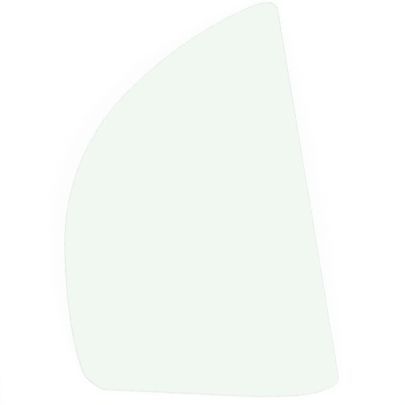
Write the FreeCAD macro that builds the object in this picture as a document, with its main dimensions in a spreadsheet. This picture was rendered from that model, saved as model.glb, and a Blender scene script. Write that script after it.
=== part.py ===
"""Quarter window glass: one bent pane of tinted safety glass with a ground edge.

The pane lies dome up, as it comes to rest. +X points to its straight leading edge,
+Y up the glass as it is fitted, and +Z out of its outer face. The origin is the middle
of the pane's box, at the height of the surface that its lowest points rest on.
"""
import FreeCAD, Part
import Sketcher
import math
import os

NODE = "quarter_glass"

# Driving sizes in millimetres and degrees. An arc's angle is the turn that it makes, and a
# straight edge's is its slant from the pane's box.
SIZES = {
    # The pane as a whole, and the flat that is left between the two arrises of its ground edge
    "overall_width": 277.5,
    "overall_height": 400.0,
    "thickness": 4.0,
    "edge_land": 1.8,
    # Bend of the outer face up the glass and across it, and how far ahead of the middle it peaks
    "bend_radius": 1500.0,
    "cross_radius": 4500.0,
    "apex_forward": 17.0,
    # Straight leading edge with the rounded nose above it and the heel below
    "lead_angle": 9.4,
    "nose_radius": 10.0,
    "heel_radius": 9.0,
    "heel_height": 19.0,
    # Roof side and rear edge, from the crown back and down
    "crown_radius": 37.0,
    "roof_angle": 23.0,
    "shoulder_angle": 43.5,
    "rear_height": 156.5,
    "rear_low_angle": 10.0,
    "foot_angle": 11.0,
    # Clipped lower rear corner: the chamfer between the ankle above it and the toe below
    "ankle_setback": 18.5,
    "ankle_radius": 18.5,
    "chamfer_angle": 37.5,
    "chamfer_length": 9.5,
    "toe_radius": 18.5,
    # Sill edge, which dips to the belly and sweeps up to the heel
    "sill_angle": 2.7,
    "belly_angle": 7.5,
    "belly_setback": 74.5,
    "sweep_angle": 22.0,
    # How far the bent blank stands past the outline that is cut from it
    "blank_margin": 10.0,
}

# Directions in degrees: the outward normals of the top, rear and bottom of the pane's box
QUARTER_TURN = 90
TOP = QUARTER_TURN
REAR = 2 * QUARTER_TURN
BOTTOM = 3 * QUARTER_TURN
FULL_TURN = 4 * QUARTER_TURN

# A sketch's numbers for the points of an element and for its own two axes, and its normal
START, END, CENTRE = range(1, 4)
HORIZONTAL_AXIS, VERTICAL_AXIS = range(-1, -3, -1)
ORIGIN = (HORIZONTAL_AXIS, START)
UPWARD = FreeCAD.Vector(0, 0, 1)


def unit(angle):
    """The direction at an angle in degrees, counted from +X towards +Y."""
    return FreeCAD.Vector(math.cos(math.radians(angle)), math.sin(math.radians(angle)), 0)


def split(target, first, second):
    """How much of each of two directions adds up to the target."""
    area = first.x * second.y - first.y * second.x
    amount_first = (target.x * second.y - target.y * second.x) / area
    amount_second = (first.x * target.y - first.y * target.x) / area
    return amount_first, amount_second


# Sheet and sketch helpers

def make_sheet(doc):
    """The spreadsheet, which holds each driving size under its own name."""
    sheet = doc.addObject("Spreadsheet::Sheet", "Sizes")
    for row, (name, value) in enumerate(SIZES.items(), start=1):
        sheet.set(f"A{row}", name)
        sheet.set(f"B{row}", str(value))
        sheet.setAlias(f"B{row}", name)
    doc.recompute()


def make_sketch(body, name, role):
    """An empty sketch on one of the body's own origin planes."""
    plane = next(item for item in body.Origin.OriginFeatures if item.Role == role)
    sketch = body.newObject("Sketcher::SketchObject", name)
    sketch.AttachmentSupport = [(plane, "")]
    sketch.MapMode = "FlatFace"
    return sketch


def add_line(sketch, start, end, construction=False):
    """A straight line between two points."""
    return sketch.addGeometry(Part.LineSegment(start, end), construction)


def add_arc(sketch, centre, radius, start_angle, end_angle):
    """An arc that runs anticlockwise between two angles in degrees."""
    circle = Part.Circle(centre, UPWARD, radius)
    arc = Part.ArcOfCircle(circle, math.radians(start_angle), math.radians(end_angle))
    return sketch.addGeometry(arc, False)


def tie(sketch, kind, *where):
    """Adds a constraint that has no size."""
    sketch.addConstraint(Sketcher.Constraint(kind, *where))


def measure(sketch, name, kind, *where, value=None, formula=None):
    """Adds a constraint whose size is read from the sheet, by its own name or by a formula."""
    start_value = SIZES[name] if value is None else value
    index = sketch.addConstraint(Sketcher.Constraint(kind, *where, start_value))
    sketch.renameConstraint(index, name)
    sketch.setExpression(f"Constraints.{name}", formula or f"Sizes.{name}")


def measure_angle(sketch, name, element, base=0, sign=1):
    """Sets the heading of a line, or the turn of an arc, to base plus or minus a size."""
    degrees = base + sign * SIZES[name]
    formula = f"({base} + {sign} * Sizes.{name}) * 1 deg"
    measure(sketch, name, "Angle", element, value=math.radians(degrees), formula=formula)


# Bent blank

def draw_section(body):
    """Section of the blank up the glass: two concentric arcs, one glass thickness apart."""
    outer_radius = SIZES["bend_radius"]
    inner_radius = outer_radius - SIZES["thickness"]
    reach = SIZES["overall_height"] / 2 + SIZES["blank_margin"]
    centre = FreeCAD.Vector(0, -outer_radius, 0)
    outer_spread = math.degrees(math.asin(reach / outer_radius))
    inner_spread = math.degrees(math.asin(reach / inner_radius))
    sketch = make_sketch(body, "BendSection", "YZ_Plane")
    sketch.setExpression(".AttachmentOffset.Base.z", "Sizes.apex_forward")

    outer = add_arc(sketch, centre, outer_radius, TOP - outer_spread, TOP + outer_spread)
    inner = add_arc(sketch, centre, inner_radius, TOP - inner_spread, TOP + inner_spread)
    ends = []
    for side in (1, -1):
        outer_corner = centre + outer_radius * unit(TOP - side * outer_spread)
        inner_corner = centre + inner_radius * unit(TOP - side * inner_spread)
        ends.append(add_line(sketch, inner_corner, outer_corner))
    upper_end, lower_end = ends
    axis_height = FreeCAD.Vector(0, -SIZES["cross_radius"], 0)
    along = FreeCAD.Vector(reach, 0, 0)
    axis = add_line(sketch, axis_height - along, axis_height + along, construction=True)

    tie(sketch, "PointOnObject", outer, CENTRE, VERTICAL_AXIS)
    tie(sketch, "Coincident", inner, CENTRE, outer, CENTRE)
    for end, point in ((upper_end, START), (lower_end, END)):
        tie(sketch, "Coincident", end, START, inner, point)
        tie(sketch, "Coincident", end, END, outer, point)
        tie(sketch, "Vertical", end)
    tie(sketch, "Symmetric", outer, START, outer, END, VERTICAL_AXIS)
    tie(sketch, "Vertical", axis, START, lower_end, START)
    tie(sketch, "Symmetric", axis, START, axis, END, VERTICAL_AXIS)
    measure(sketch, "bend_radius", "Radius", outer)
    measure(sketch, "bend_height", "DistanceY", outer, CENTRE, *ORIGIN,
            value=outer_radius, formula="Sizes.bend_radius")
    measure(sketch, "inner_radius", "Radius", inner,
            value=inner_radius, formula="Sizes.bend_radius - Sizes.thickness")
    measure(sketch, "cross_radius", "DistanceY", axis, START, *ORIGIN)
    measure(sketch, "blank_reach", "DistanceX", *ORIGIN, upper_end, START,
            value=reach, formula="Sizes.overall_height / 2 + Sizes.blank_margin")
    return sketch


def bend_blank(body):
    """The bent sheet of glass, larger all round than the pane, with its peak at zero height."""
    section = draw_section(body)
    blank = body.newObject("PartDesign::Revolution", "BentBlank")
    blank.Profile = section
    blank.ReferenceAxis = (section, ["Axis0"])
    blank.Midplane = True
    half_width = "Sizes.overall_width / 2 + Sizes.blank_margin + abs(Sizes.apex_forward)"
    blank.setExpression("Angle", f"2 * asin(({half_width}) / Sizes.cross_radius)")
    return blank


# Outline

def outline_elements():
    """The outline as a start point and the lines and arcs that follow, anticlockwise.

    All of them meet tangent. Each is a name, a length or radius, and the angle of the
    outward normal where it ends. An element that ends on the normal it starts with is a
    straight line. The radii and lengths that the sheet doesn't give close the outline.
    """
    half_width = SIZES["overall_width"] / 2
    half_height = SIZES["overall_height"] / 2
    nose_radius = SIZES["nose_radius"]
    heel_radius = SIZES["heel_radius"]
    crown_radius = SIZES["crown_radius"]

    # Outward normals where the elements meet
    lead = SIZES["lead_angle"]
    shoulder = REAR - SIZES["shoulder_angle"]
    roof = shoulder - SIZES["roof_angle"]
    low = REAR + SIZES["rear_low_angle"]
    foot = low + SIZES["foot_angle"]
    chamfer = BOTTOM - SIZES["chamfer_angle"]
    sill = BOTTOM - SIZES["sill_angle"]
    sweep = sill + SIZES["belly_angle"]
    heel = sweep + SIZES["sweep_angle"]

    # Leading edge: the nose is where its line meets the top of the box
    heel_centre = FreeCAD.Vector(half_width - heel_radius, SIZES["heel_height"] - half_height, 0)
    nose_y = half_height - nose_radius
    climb = (nose_y - heel_centre.y) * unit(lead).y
    nose_x = heel_centre.x + (heel_radius - nose_radius - climb) / unit(lead).x
    nose_centre = FreeCAD.Vector(nose_x, nose_y, 0)
    lead_start = heel_centre + heel_radius * unit(lead)
    lead_length = (nose_centre - heel_centre).dot(unit(lead + QUARTER_TURN))

    # Roof side: two arcs from the crown to the rearmost point
    rear_point = FreeCAD.Vector(-half_width, SIZES["rear_height"] - half_height, 0)
    crown_centre = FreeCAD.Vector(nose_x, half_height - crown_radius, 0)
    roof_radius, shoulder_radius = split(
        rear_point - crown_centre - crown_radius * unit(roof),
        unit(shoulder) - unit(roof),
        unit(REAR) - unit(shoulder))

    # Sill edge: two arcs from the lowest point to the heel
    lowest_point = FreeCAD.Vector(half_width - SIZES["belly_setback"], -half_height, 0)
    belly_radius, sweep_radius = split(
        heel_centre + heel_radius * unit(heel) - lowest_point,
        unit(sweep) - unit(BOTTOM),
        unit(heel) - unit(sweep))
    sill_end = lowest_point + belly_radius * (unit(sill) - unit(BOTTOM))

    # Lower rear corner: it slides along the sill line until the ankle has its setback
    corner = SIZES["ankle_radius"] * (unit(chamfer) - unit(foot))
    corner += SIZES["chamfer_length"] * unit(chamfer + QUARTER_TURN)
    corner += SIZES["toe_radius"] * (unit(sill) - unit(chamfer))
    sill_start_x = SIZES["ankle_setback"] - half_width + corner.x
    sill_length = (sill_end.x - sill_start_x) / unit(sill + QUARTER_TURN).x
    ankle_start = sill_end - sill_length * unit(sill + QUARTER_TURN) - corner

    # Rear edge below its rearmost point: two arcs down to the ankle
    low_radius, foot_radius = split(
        ankle_start - rear_point,
        unit(low) - unit(REAR),
        unit(foot) - unit(low))

    return lead_start, lead, [
        ("lead", lead_length, lead),
        ("nose", nose_radius, TOP),
        ("crown", crown_radius, roof),
        ("roof", roof_radius, shoulder),
        ("shoulder", shoulder_radius, REAR),
        ("rear_low", low_radius, low),
        ("foot", foot_radius, foot),
        ("ankle", SIZES["ankle_radius"], chamfer),
        ("chamfer", SIZES["chamfer_length"], chamfer),
        ("toe", SIZES["toe_radius"], sill),
        ("sill", sill_length, sill),
        ("belly", belly_radius, sweep),
        ("sweep", sweep_radius, heel),
        ("heel", heel_radius, FULL_TURN + lead),
    ]


def draw_box(sketch):
    """The outline's box in construction lines, with its middle at the origin."""
    half_width = SIZES["overall_width"] / 2
    half_height = SIZES["overall_height"] / 2
    lower_left = FreeCAD.Vector(-half_width, -half_height, 0)
    lower_right = FreeCAD.Vector(half_width, -half_height, 0)
    bottom = add_line(sketch, lower_left, lower_right, construction=True)
    right = add_line(sketch, lower_right, -lower_left, construction=True)
    top = add_line(sketch, -lower_left, -lower_right, construction=True)
    left = add_line(sketch, -lower_right, lower_left, construction=True)
    for side, following in ((bottom, right), (right, top), (top, left), (left, bottom)):
        tie(sketch, "Coincident", side, END, following, START)
    for side in (bottom, top):
        tie(sketch, "Horizontal", side)
    for side in (right, left):
        tie(sketch, "Vertical", side)
    tie(sketch, "Symmetric", bottom, START, top, START, *ORIGIN)
    measure(sketch, "overall_width", "DistanceX", bottom, START, bottom, END)
    measure(sketch, "overall_height", "DistanceY", right, START, right, END)
    return bottom, right, top, left


def draw_elements(sketch):
    """Draws the outline's lines and arcs, ties each tangent to the next, and returns them by name."""
    point, normal, elements = outline_elements()
    drawn = {}
    for name, size, end_normal in elements:
        if end_normal == normal:
            end_point = point + size * unit(normal + QUARTER_TURN)
            drawn[name] = add_line(sketch, point, end_point)
        else:
            centre = point - size * unit(normal)
            end_point = centre + size * unit(end_normal)
            drawn[name] = add_arc(sketch, centre, size, normal, end_normal)
        point, normal = end_point, end_normal
    names = list(drawn)
    for name, following in zip(names, names[1:] + names[:1]):
        tie(sketch, "Tangent", drawn[name], END, drawn[following], START)
    return drawn


def draw_outline(body):
    """The pane's outline, and a circle well outside it that bounds what is cut away."""
    sketch = make_sketch(body, "Outline", "XY_Plane")
    part = draw_elements(sketch)
    bottom, right, top, left = draw_box(sketch)

    # Leading edge
    measure_angle(sketch, "lead_angle", part["lead"], base=QUARTER_TURN)
    measure(sketch, "nose_radius", "Radius", part["nose"])
    measure(sketch, "heel_radius", "Radius", part["heel"])
    measure(sketch, "heel_height", "DistanceY", bottom, END, part["heel"], CENTRE)
    tie(sketch, "Tangent", part["heel"], right)

    # Roof side and rear edge
    tie(sketch, "PointOnObject", part["crown"], START, top)
    tie(sketch, "Vertical", part["crown"], START, part["crown"], CENTRE)
    measure(sketch, "crown_radius", "Radius", part["crown"])
    measure_angle(sketch, "roof_angle", part["roof"])
    measure_angle(sketch, "shoulder_angle", part["shoulder"])
    tie(sketch, "PointOnObject", part["rear_low"], START, left)
    tie(sketch, "Horizontal", part["rear_low"], START, part["rear_low"], CENTRE)
    measure(sketch, "rear_height", "DistanceY", bottom, START, part["rear_low"], START)
    measure_angle(sketch, "rear_low_angle", part["rear_low"])
    measure_angle(sketch, "foot_angle", part["foot"])

    # Lower rear corner
    measure(sketch, "ankle_setback", "DistanceX", bottom, START, part["ankle"], START)
    measure(sketch, "ankle_radius", "Radius", part["ankle"])
    measure_angle(sketch, "chamfer_angle", part["chamfer"], sign=-1)
    measure(sketch, "chamfer_length", "Distance", part["chamfer"])
    measure(sketch, "toe_radius", "Radius", part["toe"])

    # Sill edge
    measure_angle(sketch, "sill_angle", part["sill"], sign=-1)
    measure_angle(sketch, "belly_angle", part["belly"])
    tie(sketch, "Tangent", part["belly"], bottom)
    measure(sketch, "belly_setback", "DistanceX", part["belly"], CENTRE, bottom, END)
    measure_angle(sketch, "sweep_angle", part["sweep"])

    # The border lies well outside the blank
    border_radius = SIZES["overall_width"] + SIZES["overall_height"]
    circle = Part.Circle(FreeCAD.Vector(), UPWARD, border_radius)
    border = sketch.addGeometry(circle, False)
    tie(sketch, "Coincident", border, CENTRE, *ORIGIN)
    measure(sketch, "border_radius", "Radius", border,
            value=border_radius, formula="Sizes.overall_width + Sizes.overall_height")
    return sketch


def cut_outline(body, blank):
    """Cuts away all of the blank that lies outside the outline."""
    pane = body.newObject("PartDesign::Pocket", "CutToOutline")
    pane.Profile = draw_outline(body)
    pane.Type = "ThroughAll"
    pane.SideType = "Symmetric"
    body.Document.recompute()
    if not 0 < pane.Shape.Volume < blank.Shape.Volume:
        raise RuntimeError("The outline cuts nothing from the blank")
    return pane


def grind_edge(body, pane):
    """Takes an arris off both rims of the cut edge, so that a narrow land is left between them."""
    bent_faces = [face for face in pane.Shape.Faces if isinstance(face.Surface, Part.Toroid)]
    rims = [f"Edge{number}" for number, edge in enumerate(pane.Shape.Edges, start=1)
            if any(edge.isSame(rim) for face in bent_faces for rim in face.Edges)]
    ground = body.newObject("PartDesign::Chamfer", "GroundEdge")
    ground.Base = (pane, rims)
    ground.setExpression("Size", "(Sizes.thickness - Sizes.edge_land) / 2")
    return ground


# Pane

def lay_down(body):
    """Lifts the pane until its lowest points are at zero height."""
    lowest = body.Shape.optimalBoundingBox(False, False).ZMin
    body.Placement = FreeCAD.Placement(FreeCAD.Vector(0, 0, -lowest), FreeCAD.Rotation())


def make_glass(doc):
    """The finished pane: a bent blank, cut to its outline, with a ground edge."""
    body = doc.addObject("PartDesign::Body", "QuarterGlass")
    body.Label = NODE
    body.AllowCompound = False
    blank = bend_blank(body)
    doc.recompute()
    pane = cut_outline(body, blank)
    body.Tip = grind_edge(body, pane)
    doc.recompute()
    lay_down(body)
    doc.recompute()
    return body


def check(doc, body):
    """Stops if any object of the document failed or if the pane isn't one sound solid."""
    failed = [item.Name for item in doc.Objects if {"Invalid", "Error"} & set(item.State)]
    if failed:
        raise RuntimeError("Failed to build: " + ", ".join(failed))
    if body.Shape.isNull() or not body.Shape.isValid() or len(body.Shape.Solids) != 1:
        raise RuntimeError(f"{body.Label} isn't one valid solid")


def main():
    """Builds the pane, checks it and writes its file."""
    doc = FreeCAD.newDocument("QuarterWindowGlass")
    make_sheet(doc)
    glass = make_glass(doc)
    check(doc, glass)
    os.makedirs("parts", exist_ok=True)
    glass.Shape.exportStep(f"parts/{glass.Label}.step")


main()
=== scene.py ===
"""Quarter window glass: the looks of one bent pane of pale green safety glass with a ground edge.

The pane's lengths are in millimetres, in the same frame as the solid, and go into Blender in
metres. Those of the grit, the floor, the lamps and the camera are in metres from the start.
"""
import bpy
import math
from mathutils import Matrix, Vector


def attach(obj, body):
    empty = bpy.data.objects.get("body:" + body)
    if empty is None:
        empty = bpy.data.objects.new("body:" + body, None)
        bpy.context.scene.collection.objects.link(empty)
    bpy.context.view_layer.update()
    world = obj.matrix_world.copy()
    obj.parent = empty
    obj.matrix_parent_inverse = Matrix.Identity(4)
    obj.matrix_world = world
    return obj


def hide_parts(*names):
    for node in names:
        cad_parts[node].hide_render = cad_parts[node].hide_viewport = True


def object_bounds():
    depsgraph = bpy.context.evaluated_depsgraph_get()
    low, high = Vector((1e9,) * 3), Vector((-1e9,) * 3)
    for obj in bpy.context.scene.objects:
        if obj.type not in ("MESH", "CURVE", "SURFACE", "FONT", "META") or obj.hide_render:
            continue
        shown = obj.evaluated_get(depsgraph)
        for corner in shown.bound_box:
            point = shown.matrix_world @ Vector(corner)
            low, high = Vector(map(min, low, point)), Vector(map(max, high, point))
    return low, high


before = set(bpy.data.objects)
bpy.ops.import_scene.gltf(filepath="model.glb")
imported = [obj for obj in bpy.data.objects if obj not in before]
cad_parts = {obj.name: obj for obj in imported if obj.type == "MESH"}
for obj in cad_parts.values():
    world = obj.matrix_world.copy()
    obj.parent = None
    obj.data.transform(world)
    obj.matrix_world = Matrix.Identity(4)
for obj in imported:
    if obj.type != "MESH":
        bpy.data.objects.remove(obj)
solid_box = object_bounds()

MILLIMETRE = 0.001
NODE = "quarter_glass"

# The pane as a whole. The outer face peaks at the top of the solid's box.
WIDTH = 277.5
HEIGHT = 400.0
THICKNESS = 4.0
EDGE_LAND = 1.8
BEND_RADIUS = 1500.0
CROSS_RADIUS = 4500.0
APEX_FORWARD = 17.0

# Outline, in degrees: the turns that its arcs make, and the slants of its straight edges
LEAD_ANGLE = 9.4
ROOF_ANGLE = 23.0
SHOULDER_ANGLE = 43.5
REAR_LOW_ANGLE = 10.0
FOOT_ANGLE = 11.0
CHAMFER_ANGLE = 37.5
SILL_ANGLE = 2.7
BELLY_ANGLE = 7.5
SWEEP_ANGLE = 22.0

# Outline: radii, one length and the places that pin it to the box
NOSE_RADIUS = 10.0
HEEL_RADIUS = 9.0
HEEL_HEIGHT = 19.0
CROWN_RADIUS = 37.0
REAR_HEIGHT = 156.5
ANKLE_SETBACK = 18.5
ANKLE_RADIUS = 18.5
CHAMFER_LENGTH = 9.5
TOE_RADIUS = 18.5
BELLY_SETBACK = 74.5

# Outward normals of the top, rear and bottom of the pane's box, in degrees
QUARTER_TURN = 90
TOP = QUARTER_TURN
REAR = 2 * QUARTER_TURN
BOTTOM = 3 * QUARTER_TURN
FULL_TURN = 4 * QUARTER_TURN

# Outward normals where the outline's lines and arcs meet
LEAD_NORMAL = LEAD_ANGLE
SHOULDER_NORMAL = REAR - SHOULDER_ANGLE
ROOF_NORMAL = SHOULDER_NORMAL - ROOF_ANGLE
LOW_NORMAL = REAR + REAR_LOW_ANGLE
FOOT_NORMAL = LOW_NORMAL + FOOT_ANGLE
CHAMFER_NORMAL = BOTTOM - CHAMFER_ANGLE
SILL_NORMAL = BOTTOM - SILL_ANGLE
SWEEP_NORMAL = SILL_NORMAL + BELLY_ANGLE
HEEL_NORMAL = SWEEP_NORMAL + SWEEP_ANGLE

# Ground edge: the slope of its arrises in degrees, and the radius and steps of its soft corners
ARRIS_SLOPE = 45.0
CORNER_SOFTNESS = 0.8
CORNER_STEPS = 5

# Mesh: the longest steps along the outline, in millimetres and in degrees, and the fewest steps
# on one line or arc
LINE_STEP = 3.0
TURN_STEP = 1.5
FEWEST_STEPS = 2

# Mesh: the insets of three rings of points near the edge of a face, and the steps from its
# middle to the first of them
GUARD_INSETS = (4.0, 1.2, 0.3)
FACE_STEPS = 14

# Finish of a point: its shares of arris and of land
POLISHED = (0.0, 0.0)

# Glass: its tint by depth, and the satin of its ground edge
GLASS_IOR = 1.52
TINT_COLOUR = (0.471, 0.736, 0.471, 1.0)
TINT_DENSITY = 60.0
FACE_COLOUR = (1.0, 1.0, 1.0, 1.0)
ARRIS_COLOUR = (0.93, 0.94, 0.93, 1.0)
LAND_COLOUR = (0.60, 0.88, 0.70, 1.0)
FACE_CLEARNESS = 1.0
ARRIS_CLEARNESS = 0.35
LAND_CLEARNESS = 0.75
FACE_ROUGHNESS = 0.0
EDGE_ROUGHNESS = (0.4, 0.6)
GRIT_SIZE = 0.0006
GRIT_DETAIL = 2.0

# Floor: its shade as it lights the pane, and the darker shade with a lift that is in the view,
# where it keeps the shadow faint
FLOOR_HALF_SIDE = 6.0
FLOOR_DROP = 0.0001
FLOOR_SHADE = (0.8, 0.8, 0.8, 1.0)
SHADOW_SHADE = (0.1, 0.1, 0.1, 1.0)
FLOOR_LIFT = 0.897

# Surround: its strength as a light, how white the glass shows its wall, and the upward shares
# of a direction between which the wall turns white
WHITE = (1.0, 1.0, 1.0, 1.0)
FILL_STRENGTH = 0.75
WALL_WHITE = 0.65
WALL_FOOT = 0.1
WALL_TOP = 0.9

# Lamps: name, place, side and power in watts
LAMPS = (
    ("key", (1.7, -1.3, 1.7), 1.2, 22.0),
    ("fill", (-1.6, 1.5, 1.5), 1.5, 18.0),
)

# Camera: the middle and width of its view at the height of the pane's rim
VIEW_CENTRE = (0.0007, -0.0030)
VIEW_WIDTH = 0.4097
RIM_HEIGHT = 0.0105
FAR_CLIP = 100.0

# Camera: its lens and sensor, both in millimetres
LENS = 500.0
SENSOR_WIDTH = 36.0


# Outline

def unit(angle):
    """The direction at an angle in degrees, counted from +X towards +Y."""
    return Vector((math.cos(math.radians(angle)), math.sin(math.radians(angle))))


def split(target, first, second):
    """How much of each of two directions adds up to the target."""
    area = first.x * second.y - first.y * second.x
    amount_first = (target.x * second.y - target.y * second.x) / area
    amount_second = (first.x * target.y - first.y * target.x) / area
    return amount_first, amount_second


def outline_elements():
    """The outline's start, its first normal, and the lines and arcs that follow, anticlockwise.

    All of them meet tangent. Each is a length or radius, and the angle of the outward normal
    where it ends. An element that ends on the normal it starts with is a straight line.
    """
    half_width = WIDTH / 2
    half_height = HEIGHT / 2

    # Leading edge: the nose is where its line meets the top of the box
    heel_centre = Vector((half_width - HEEL_RADIUS, HEEL_HEIGHT - half_height))
    lead = unit(LEAD_NORMAL)
    nose_y = half_height - NOSE_RADIUS
    nose_x = heel_centre.x + (HEEL_RADIUS - NOSE_RADIUS - (nose_y - heel_centre.y) * lead.y) / lead.x
    nose_centre = Vector((nose_x, nose_y))
    lead_length = (nose_centre - heel_centre).dot(unit(LEAD_NORMAL + QUARTER_TURN))

    # Roof side: two arcs from the crown to the rearmost point
    rear_point = Vector((-half_width, REAR_HEIGHT - half_height))
    crown_centre = Vector((nose_x, half_height - CROWN_RADIUS))
    roof_radius, shoulder_radius = split(
        rear_point - crown_centre - CROWN_RADIUS * unit(ROOF_NORMAL),
        unit(SHOULDER_NORMAL) - unit(ROOF_NORMAL),
        unit(REAR) - unit(SHOULDER_NORMAL))

    # Sill edge: two arcs from the lowest point to the heel
    lowest_point = Vector((half_width - BELLY_SETBACK, -half_height))
    belly_radius, sweep_radius = split(
        heel_centre + HEEL_RADIUS * unit(HEEL_NORMAL) - lowest_point,
        unit(SWEEP_NORMAL) - unit(BOTTOM),
        unit(HEEL_NORMAL) - unit(SWEEP_NORMAL))
    sill_end = lowest_point + belly_radius * (unit(SILL_NORMAL) - unit(BOTTOM))

    # Lower rear corner: it slides along the sill line until the ankle has its setback
    corner = ANKLE_RADIUS * (unit(CHAMFER_NORMAL) - unit(FOOT_NORMAL))
    corner += CHAMFER_LENGTH * unit(CHAMFER_NORMAL + QUARTER_TURN)
    corner += TOE_RADIUS * (unit(SILL_NORMAL) - unit(CHAMFER_NORMAL))
    sill_start_x = ANKLE_SETBACK - half_width + corner.x
    sill_length = (sill_end.x - sill_start_x) / unit(SILL_NORMAL + QUARTER_TURN).x
    ankle_start = sill_end - sill_length * unit(SILL_NORMAL + QUARTER_TURN) - corner

    # Rear edge below its rearmost point: two arcs down to the ankle
    low_radius, foot_radius = split(
        ankle_start - rear_point,
        unit(LOW_NORMAL) - unit(REAR),
        unit(FOOT_NORMAL) - unit(LOW_NORMAL))

    return heel_centre + HEEL_RADIUS * lead, LEAD_NORMAL, [
        (lead_length, LEAD_NORMAL),
        (NOSE_RADIUS, TOP),
        (CROWN_RADIUS, ROOF_NORMAL),
        (roof_radius, SHOULDER_NORMAL),
        (shoulder_radius, REAR),
        (low_radius, LOW_NORMAL),
        (foot_radius, FOOT_NORMAL),
        (ANKLE_RADIUS, CHAMFER_NORMAL),
        (CHAMFER_LENGTH, CHAMFER_NORMAL),
        (TOE_RADIUS, SILL_NORMAL),
        (sill_length, SILL_NORMAL),
        (belly_radius, SWEEP_NORMAL),
        (sweep_radius, HEEL_NORMAL),
        (HEEL_RADIUS, FULL_TURN + LEAD_NORMAL),
    ]


def walk(start, normal, turn, size, share):
    """The place a share of the way along a line, or along an arc that makes a turn."""
    if turn:
        return start + size * (unit(normal + share * turn) - unit(normal))
    return start + share * size * unit(normal + QUARTER_TURN)


def outline_points():
    """Points along the outline, each with its outward normal, anticlockwise."""
    place, normal, elements = outline_elements()
    points = []
    for size, end_normal in elements:
        turn = end_normal - normal
        length = size * math.radians(turn) if turn else size
        steps = max(FEWEST_STEPS, math.ceil(length / LINE_STEP), math.ceil(turn / TURN_STEP))
        for step in range(steps):
            share = step / steps
            points.append((walk(place, normal, turn, size, share), unit(normal + share * turn)))
        place = walk(place, normal, turn, size, 1)
        normal = end_normal
    return points


# Pane

def face_height(place, peak, depth):
    """Height of the bent face that lies a depth under the outer one, at a place seen from above."""
    section_radius = BEND_RADIUS - depth
    section = math.sqrt(section_radius ** 2 - place.y ** 2)
    across = CROSS_RADIUS - BEND_RADIUS + section
    return peak - CROSS_RADIUS + math.sqrt(across ** 2 - (place.x - APEX_FORWARD) ** 2)


def soft_corner(before, corner, after):
    """Points of a curve that leaves the line before a corner and joins the line after it."""
    points = []
    for step in range(CORNER_STEPS + 1):
        share = step / CORNER_STEPS
        rest = 1 - share
        points.append(rest ** 2 * before + 2 * share * rest * corner + share ** 2 * after)
    return points


def edge_profile():
    """Section of half of the ground edge, from the face to the land: inset, depth and finish."""
    arris = (THICKNESS - EDGE_LAND) / 2
    reach = CORNER_SOFTNESS * math.tan(math.radians(ARRIS_SLOPE / 2))
    slope = unit(REAR - ARRIS_SLOPE)
    upper = Vector((arris, 0))
    lower = Vector((0, arris))
    upper_curve = soft_corner(upper + Vector((reach, 0)), upper, upper + reach * slope)
    lower_curve = soft_corner(lower - reach * slope, lower, lower + Vector((0, reach)))
    profile = []
    for step, (inset, depth) in enumerate(upper_curve):
        profile.append((inset, depth, (step / CORNER_STEPS, 0.0)))
    for step, (inset, depth) in enumerate(lower_curve):
        profile.append((inset, depth, (1.0, step / CORNER_STEPS)))
    return profile


def inward(outline, inset):
    """The outline's points, moved inwards by an inset."""
    return [place - inset * normal for place, normal in outline]


def half_rings(outline):
    """Rings of points from the middle of a face to the land: their places, depth and finish."""
    profile = edge_profile()
    face_edge = profile[0][0]
    innermost = inward(outline, face_edge + GUARD_INSETS[0])
    rings = []
    for step in range(1, FACE_STEPS):
        share = step / FACE_STEPS
        rings.append(([share * place for place in innermost], 0.0, POLISHED))
    for guard in GUARD_INSETS:
        rings.append((inward(outline, face_edge + guard), 0.0, POLISHED))
    for inset, depth, finish in profile:
        rings.append((inward(outline, inset), depth, finish))
    return rings


def pane_points(rings):
    """The closed pane's points, and the finish of each.

    They run ring by ring over the outer face, round the edge and over the inner face, and end
    with the middles of both faces.
    """
    peak = solid_box[1][2] / MILLIMETRE
    middle = Vector((0.0, 0.0))
    points = []
    finishes = []
    for half, face_depth, way_in in ((rings, 0.0, -1), (reversed(rings), THICKNESS, 1)):
        for places, depth, finish in half:
            for place in places:
                height = face_height(place, peak, face_depth) + way_in * depth
                points.append((place.x, place.y, height))
                finishes.append(finish)
    for face_depth in (0.0, THICKNESS):
        points.append((middle.x, middle.y, face_height(middle, peak, face_depth)))
        finishes.append(POLISHED)
    return points, finishes


def pane_faces(rings, count):
    """Faces between rings that each have a count of points, and fans that close both ends."""
    pairs = [(step, (step + 1) % count) for step in range(count)]
    faces = []
    for ring in range(rings - 1):
        near = ring * count
        far = near + count
        faces += [(near + step, far + step, far + following, near + following)
                  for step, following in pairs]
    last = (rings - 1) * count
    outer_middle = rings * count
    inner_middle = outer_middle + 1
    faces += [(outer_middle, step, following) for step, following in pairs]
    faces += [(inner_middle, last + following, last + step) for step, following in pairs]
    return faces


def link_object(name, data):
    """A new object in the scene."""
    new_object = bpy.data.objects.new(name, data)
    bpy.context.scene.collection.objects.link(new_object)
    return new_object


def make_pane():
    """The pane as one closed smooth mesh, which keeps each point's shares of arris and of land."""
    outline = outline_points()
    rings = half_rings(outline)
    points, finishes = pane_points(rings)
    mesh = bpy.data.meshes.new("pane")
    mesh.from_pydata([[MILLIMETRE * value for value in point] for point in points], [],
                     pane_faces(2 * len(rings), len(outline)))
    mesh.polygons.foreach_set("use_smooth", [True] * len(mesh.polygons))
    for name, shares in zip(("arris", "land"), zip(*finishes)):
        mesh.attributes.new(name, "FLOAT", "POINT").data.foreach_set("value", shares)
    mesh.update()
    mesh.materials.append(glass_material())
    return link_object("tinted_pane", mesh)


# Node helpers

def add_node(tree, kind, inputs, **settings):
    """A new node with its settings, and its inputs set to values or linked to other nodes' outputs."""
    node = tree.nodes.new(kind)
    for name, value in settings.items():
        setattr(node, name, value)
    for key, value in inputs.items():
        if isinstance(value, bpy.types.NodeSocket):
            tree.links.new(value, node.inputs[key])
        else:
            node.inputs[key].default_value = value
    return node


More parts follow.
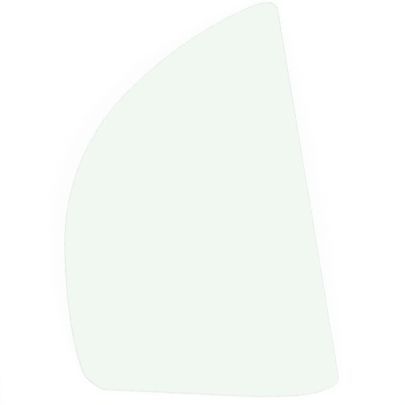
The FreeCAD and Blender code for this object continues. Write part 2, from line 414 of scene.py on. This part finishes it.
def mix(tree, kind, share, first, second):
    """Goes from the first value or colour to the second as the share goes from 0 to 1."""
    inputs = {"Factor": share, "A": first, "B": second}
    return add_node(tree, "ShaderNodeMix", inputs, data_type=kind).outputs["Result"]


def mix_shaders(tree, share, first, second):
    """Goes from the first shader to the second as the share goes from 0 to 1."""
    return add_node(tree, "ShaderNodeMixShader", {"Fac": share, 1: first, 2: second}).outputs["Shader"]


def largest(tree, *values):
    """The largest of two or more values."""
    result = values[0]
    for value in values[1:]:
        node = add_node(tree, "ShaderNodeMath", {0: result, 1: value}, operation="MAXIMUM")
        result = node.outputs["Value"]
    return result


def mesh_share(tree, name):
    """A share that the mesh keeps at each of its points."""
    return add_node(tree, "ShaderNodeAttribute", {}, attribute_name=name).outputs["Fac"]


def new_material(name):
    """A node material with nothing but its output."""
    material = bpy.data.materials.new(name)
    material.use_nodes = True
    tree = material.node_tree
    tree.nodes.clear()
    return material, tree, tree.nodes.new("ShaderNodeOutputMaterial")


# Looks of the pane

def glass_material():
    """Pale green glass: polished faces, a satin ground edge, and a tint that deepens with its thickness."""
    material, tree, output = new_material("green_tinted_glass")
    arris = mesh_share(tree, "arris")
    land = mesh_share(tree, "land")
    edge_colour = mix(tree, "RGBA", arris, FACE_COLOUR, ARRIS_COLOUR)
    edge_clearness = mix(tree, "FLOAT", arris, FACE_CLEARNESS, ARRIS_CLEARNESS)
    place = tree.nodes.new("ShaderNodeTexCoord").outputs["Object"]
    grit = add_node(tree, "ShaderNodeTexNoise",
                    {"Vector": place, "Scale": 1 / GRIT_SIZE, "Detail": GRIT_DETAIL}).outputs["Fac"]
    edge_roughness = mix(tree, "FLOAT", grit, *EDGE_ROUGHNESS)
    shader = add_node(tree, "ShaderNodeBsdfPrincipled", {
        "IOR": GLASS_IOR,
        "Base Color": mix(tree, "RGBA", land, edge_colour, LAND_COLOUR),
        "Transmission Weight": mix(tree, "FLOAT", land, edge_clearness, LAND_CLEARNESS),
        "Roughness": mix(tree, "FLOAT", arris, FACE_ROUGHNESS, edge_roughness),
    })
    tint = add_node(tree, "ShaderNodeVolumeAbsorption", {"Color": TINT_COLOUR, "Density": TINT_DENSITY})
    tree.links.new(shader.outputs["BSDF"], output.inputs["Surface"])
    tree.links.new(tint.outputs["Volume"], output.inputs["Volume"])
    return material


# Setting

def floor_material():
    """White floor that stays white in the view and through the glass, and takes a soft shadow."""
    material, tree, output = new_material("white_floor")
    path = tree.nodes.new("ShaderNodeLightPath").outputs
    matt = add_node(tree, "ShaderNodeBsdfDiffuse", {"Color": FLOOR_SHADE}).outputs["BSDF"]
    dark = add_node(tree, "ShaderNodeBsdfDiffuse", {"Color": SHADOW_SHADE}).outputs["BSDF"]
    lift = add_node(tree, "ShaderNodeEmission", {"Strength": FLOOR_LIFT}).outputs["Emission"]
    white = tree.nodes.new("ShaderNodeEmission").outputs["Emission"]
    in_view = add_node(tree, "ShaderNodeAddShader", {0: dark, 1: lift}).outputs["Shader"]
    in_glass = largest(tree, path["Is Transmission Ray"], path["Is Glossy Ray"])
    out_of_view = mix_shaders(tree, in_glass, matt, white)
    shader = mix_shaders(tree, path["Is Camera Ray"], out_of_view, in_view)
    tree.links.new(shader, output.inputs["Surface"])
    return material


def make_floor():
    """The plain floor that the pane lies on, a hair below its lowest points."""
    sides = (-FLOOR_HALF_SIDE, FLOOR_HALF_SIDE)
    mesh = bpy.data.meshes.new("floor")
    mesh.from_pydata([(x, y, -FLOOR_DROP) for x in sides for y in sides], [], [(0, 2, 3, 1)])
    mesh.materials.append(floor_material())
    return link_object("floor", mesh)


def make_world():
    """A white surround, and a softer one that lights the pane.

    What the glass shows of the white one fades towards the horizon, so that the bend shows.
    """
    world = bpy.data.worlds.new("studio")
    bpy.context.scene.world = world
    world.use_nodes = True
    tree = world.node_tree
    tree.nodes.clear()
    output = tree.nodes.new("ShaderNodeOutputWorld")
    path = tree.nodes.new("ShaderNodeLightPath").outputs
    direction = tree.nodes.new("ShaderNodeTexCoord").outputs["Generated"]
    upward = add_node(tree, "ShaderNodeSeparateXYZ", {"Vector": direction}).outputs["Z"]
    fade = {"Value": upward, "From Min": WALL_FOOT, "From Max": WALL_TOP, "To Min": WALL_WHITE}
    wall = add_node(tree, "ShaderNodeMapRange", fade, interpolation_type="SMOOTHSTEP").outputs["Result"]
    strength = largest(tree, path["Is Camera Ray"], wall)
    seen = add_node(tree, "ShaderNodeBackground", {"Color": WHITE, "Strength": strength})
    fill = add_node(tree, "ShaderNodeBackground", {"Color": WHITE, "Strength": FILL_STRENGTH})
    is_seen = largest(tree, path["Is Camera Ray"], path["Is Glossy Ray"], path["Is Transmission Ray"])
    shader = mix_shaders(tree, is_seen, fill.outputs["Background"], seen.outputs["Background"])
    tree.links.new(shader, output.inputs["Surface"])


def add_lamp(name, place, side, power):
    """A square soft lamp that faces the pane and leaves no white patch on it from any side."""
    data = bpy.data.lights.new(name, "AREA")
    data.shape = "SQUARE"
    data.size = side
    data.energy = power
    lamp = link_object(name, data)
    lamp.location = place
    lamp.rotation_euler = (-Vector(place)).to_track_quat("-Z", "Y").to_euler()
    lamp.visible_glossy = False
    lamp.visible_transmission = False


def make_camera():
    """A long lens straight above the pane, with +Y up in the picture."""
    data = bpy.data.cameras.new("camera")
    data.lens = LENS
    data.sensor_width = SENSOR_WIDTH
    data.clip_end = FAR_CLIP
    camera = link_object("camera", data)
    camera.location = (*VIEW_CENTRE, RIM_HEIGHT + VIEW_WIDTH * LENS / SENSOR_WIDTH)
    bpy.context.scene.camera = camera


pane = make_pane()
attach(pane, "root")
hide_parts(NODE)
make_floor()
make_world()
for lamp in LAMPS:
    add_lamp(*lamp)
make_camera()
bpy.context.scene.view_settings.view_transform = "Standard"
